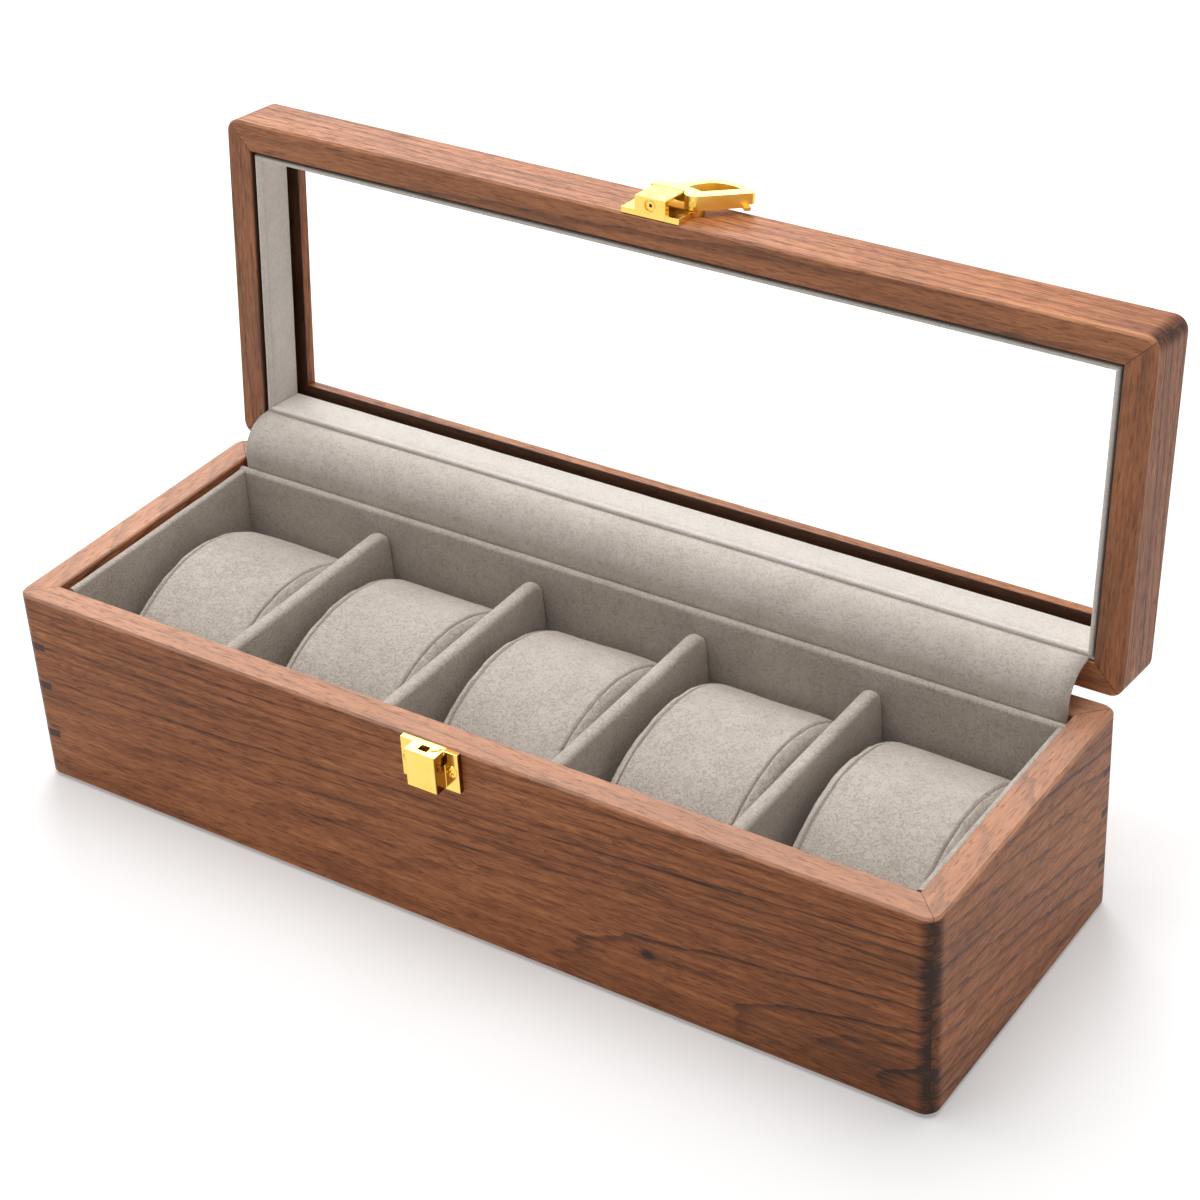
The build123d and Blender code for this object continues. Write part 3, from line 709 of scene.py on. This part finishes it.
def settled(form, i):
    """A copy of the sewn pillow, dented as use leaves it."""
    mesh = form.copy()
    mesh.normal_update()
    for vertex in mesh.verts:
        dent = noise.noise(vertex.co * 38.0 + Vector((i * 3.1, 0, 0)))
        vertex.co -= vertex.normal * DENT * (0.5 + dent)
    return mesh


def make_pillows():
    """Five stuffed pillows from one swollen skin, each settled a little differently."""
    obj = pillow_form("pillow_1")
    stuff(obj, pressure=4.0, steps=20)
    smooth = obj.modifiers.new("smooth", "SUBSURF")
    smooth.levels = smooth.render_levels = 1
    form = bmesh.new()
    form.from_mesh(evaluated_mesh(obj))
    bpy.data.objects.remove(obj)
    fit(form, high("pillow_1") - low("pillow_1"))
    relax(form, 4)
    for end in (-1, 1):
        sew(form, end * (PILLOW_HALF - PILLOW_SEAM))
    for i in range(1, 6):
        node = f"pillow_{i}"
        mesh = settled(form, i)
        bmesh.ops.translate(mesh, vec=(low(node) + high(node)) / 2, verts=mesh.verts)
        made = piece(node + "_velvet", mesh, pillow_cloth, "velvet", node, sharp=180.0)
    form.free()


make_pillows()

# Hinge flap

FLAP_HALF = 149.0 * MM
FLAP_THICK = 1.0 * MM
FLAP_FOOT_Y = 44.75 * MM
FLAP_BEND = 10.5 * MM
FLAP_END_GAP = 0.2 * MM
FLAP_STEPS = 50
FLAP_WAVER = 0.25 * MM


def flap_path(rail, foot, end_y, crest):
    """The flap's left edge: up, round the bend and on to the lid's lining. Gives the path's length."""
    rise = crest - FLAP_BEND - foot
    spots = [Vector((-FLAP_HALF, FLAP_FOOT_Y, foot + rise * i / 5)) for i in range(6)]
    line = [rail.verts.new(spot) for spot in spots]
    for a, b in zip(line, line[1:]):
        rail.edges.new((a, b))
    centre = Vector((-FLAP_HALF, FLAP_FOOT_Y + FLAP_BEND, crest - FLAP_BEND))
    bent = bmesh.ops.spin(
        rail, geom=[line[-1]], cent=centre, axis=X, angle=-math.pi / 2, steps=18,
        use_duplicate=False, use_merge=False,
    )
    last = next(v for v in bent["geom_last"] if isinstance(v, bmesh.types.BMVert))
    end = rail.verts.new(last.co + Y * (end_y - FLAP_END_GAP - last.co.y))
    rail.edges.new((last, end))
    return (line[-1].co - line[0].co).length + FLAP_BEND * math.pi / 2 + (end.co - last.co).length


def hinge_flap():
    """The strip of covered cloth from behind the back liner, round its bend, to the lid's lining."""
    rail = bmesh.new()
    foot, end_y = low("hinge_flap").z, high("hinge_flap").y
    crest, liner_top = high("hinge_flap").z - FLAP_THICK / 2, high("back_liner").z
    length = flap_path(rail, foot, end_y, crest)
    stride = 2 * FLAP_HALF / FLAP_STEPS
    for i in range(FLAP_STEPS):
        here = i * stride - FLAP_HALF
        edges = [e for e in rail.edges if all(abs(v.co.x - here) < SAME for v in e.verts)]
        made = bmesh.ops.extrude_edge_only(rail, edges=edges)
        moved = [v for v in made["geom"] if isinstance(v, bmesh.types.BMVert)]
        bmesh.ops.translate(rail, vec=X * stride, verts=moved)
    for vertex in rail.verts:
        lift = noise.noise(Vector((vertex.co.x * 22.0, vertex.co.z * 40.0, 0.4)))
        if vertex.co.z > liner_top:
            vertex.co.z += FLAP_WAVER * lift
    flap = piece("hinge_flap_cloth", rail, flap_cloth, "velvet", "hinge_flap", body="blend")
    thick = flap.modifiers.new("cloth", "SOLIDIFY")
    thick.thickness = FLAP_THICK
    thick.offset = 0.0
    flap.data = evaluated_mesh(flap)
    flap.modifiers.clear()
    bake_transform(flap)


hinge_flap()

# Catch

ARRIS = {
    "catch_keeper": 0.16 * MM, "catch_housing": 0.16 * MM, "catch_lever": 0.3 * MM,
    "lever_pivot_pin": 0.1 * MM, "catch_end_rivet": 0.1 * MM,
}
GILT = {"catch_keeper": keeper_gold, "catch_lever": satin}
SCREW_RADIUS = 2.0 * MM
SCREW_ARM = 2.7 * MM
SCREW_CROSS = 0.7 * MM
SCREW_SLOT = 0.55 * MM
SCREW_TURN = 0.5


def polish(node, width):
    """A CAD piece of the catch with its arrises rounded as polishing leaves them."""
    mesh = bmesh.new()
    mesh.from_mesh(nodes[node].data)
    bmesh.ops.remove_doubles(mesh, verts=mesh.verts, dist=2 * SAME)
    bmesh.ops.dissolve_limit(mesh, angle_limit=math.radians(0.5), verts=mesh.verts, edges=mesh.edges)
    ease(mesh, lambda e: len(e.link_faces) == 2 and e.calc_face_angle(0) > math.radians(35), width, 2)
    made = piece(node + "_polished", mesh, GILT.get(node, polished), "gold_brass", node)
    even = made.modifiers.new("even_shading", "WEIGHTED_NORMAL")
    even.keep_sharp = True


def screw_heads(node, out, rise):
    """Oval screw heads with crossed slots, that rise from the CAD screws' own flush tops."""
    points = [vertex.co for vertex in nodes[node].data.vertices]
    top = max(point.dot(out) for point in points)
    turn = Z.rotation_difference(out).to_matrix().to_4x4()
    heads, cutters = bmesh.new(), bmesh.new()
    for side in (-1, 1):
        face = [p for p in points if p.dot(out) > top - TOUCH and p.x * side > 0]
        centre = Matrix.Translation(sum(face, Vector()) / len(face))
        spot = centre @ turn @ Matrix.Rotation(SCREW_TURN + side, 4, "Z")
        bmesh.ops.create_uvsphere(
            heads, u_segments=28, v_segments=14, radius=SCREW_RADIUS,
            matrix=spot @ Matrix.Diagonal((1, 1, rise / SCREW_RADIUS, 1)))
        slot = spot @ Matrix.Translation(Z * (rise - SCREW_SLOT / 2))
        for arm in ((SCREW_ARM, SCREW_CROSS), (SCREW_CROSS, SCREW_ARM)):
            bmesh.ops.create_cube(cutters, size=1.0, matrix=slot @ Matrix.Diagonal((*arm, SCREW_SLOT, 1)))
    driver = add("driver", cutters)
    made = piece(node + "_heads", heads, polished, "gold_brass", node)
    slots = made.modifiers.new("slots", "BOOLEAN")
    slots.operation, slots.object, slots.solver = "DIFFERENCE", driver, "EXACT"
    slots.use_self = True
    cut_heads = evaluated_mesh(made)
    made.modifiers.clear()
    made.data = cut_heads
    cut_heads.set_sharp_from_angle(angle=math.radians(35))
    bpy.data.objects.remove(driver)


for node, width in ARRIS.items():
    polish(node, width)
screw_heads("catch_keeper_screws", out=-Y, rise=0.8 * MM)

# Floor, light and camera

FLOOR_GLOW = 0.26
FLOOR_REACH = 6.0
WHITE, PAPER = (1, 1, 1), (0.8, 0.8, 0.8)


def studio_floor():
    """A pale floor that the camera sees as white, and that keeps the contact shadow."""
    mesh = bmesh.new()
    bmesh.ops.create_grid(mesh, x_segments=1, y_segments=1, size=FLOOR_REACH)
    floor = add("studio_floor", mesh)
    paper = Finish("white_paper")
    dress(floor, paper.finish(
        Base_Color=PAPER, Roughness=1.0, Specular_IOR_Level=0.0,
        Emission_Color=WHITE, Emission_Strength=paper.seen() * FLOOR_GLOW,
    ))


def softbox(name, place, target, size, watts):
    """A square lamp that looks at its target."""
    data = bpy.data.lights.new(name, "AREA")
    data.shape = "RECTANGLE"
    data.size, data.size_y = size
    data.energy = watts
    obj = bpy.data.objects.new(name, data)
    obj.location = place
    obj.rotation_euler = (Vector(target) - Vector(place)).to_track_quat("-Z", "Y").to_euler()
    scene.collection.objects.link(obj)


def white_world(strength):
    """A white studio: plain white where it is seen or mirrored, dimmer where it only lights."""
    world = bpy.data.worlds.new("white_studio")
    scene.world = world
    world.use_nodes = True
    world.node_tree.nodes.clear()
    sky = Recipe(world.node_tree)
    lights, seen = (
        sky.node("ShaderNodeBackground", {}, {"Color": WHITE, "Strength": level}) for level in (strength, 1.0)
    )
    both = sky.node("ShaderNodeMixShader", {}, {0: sky.seen(), 1: lights, 2: seen})
    sky.node("ShaderNodeOutputWorld", {}, {0: both})


def camera(place, azimuth, elevation, roll, lens):
    """The photograph's viewpoint: azimuth turns from +Y towards +X, elevation looks down."""
    az, el, ro = (math.radians(v) for v in (azimuth, elevation, roll))
    ahead = Vector((math.sin(az) * math.cos(el), math.cos(az) * math.cos(el), -math.sin(el)))
    level = Vector((math.cos(az), -math.sin(az), 0))
    above = level.cross(ahead)
    right = level * math.cos(ro) + above * math.sin(ro)
    up = above * math.cos(ro) - level * math.sin(ro)
    data = bpy.data.cameras.new("camera")
    data.lens = lens
    data.sensor_width = 36.0
    data.clip_start, data.clip_end = 0.01, 50
    obj = bpy.data.objects.new("camera", data)
    facing = Matrix((right, up, -ahead)).transposed().to_4x4()
    obj.matrix_world = Matrix.Translation(Vector(place) * MM) @ facing
    scene.collection.objects.link(obj)
    scene.camera = obj


studio_floor()
white_world(strength=0.3)
softbox("overhead_softbox", place=(-0.15, 0.12, 1.5), target=(0, 0, 0), size=(1.4, 1.0), watts=19)
softbox("rear_softbox", place=(-0.9, 1.2, 1.1), target=(0, 0, 0.08), size=(0.9, 0.9), watts=14)
camera(place=(418.35, -561.67, 537.51), azimuth=-35.204, elevation=32.91, roll=-3.302, lens=85.4)
scene.view_settings.view_transform = "Standard"
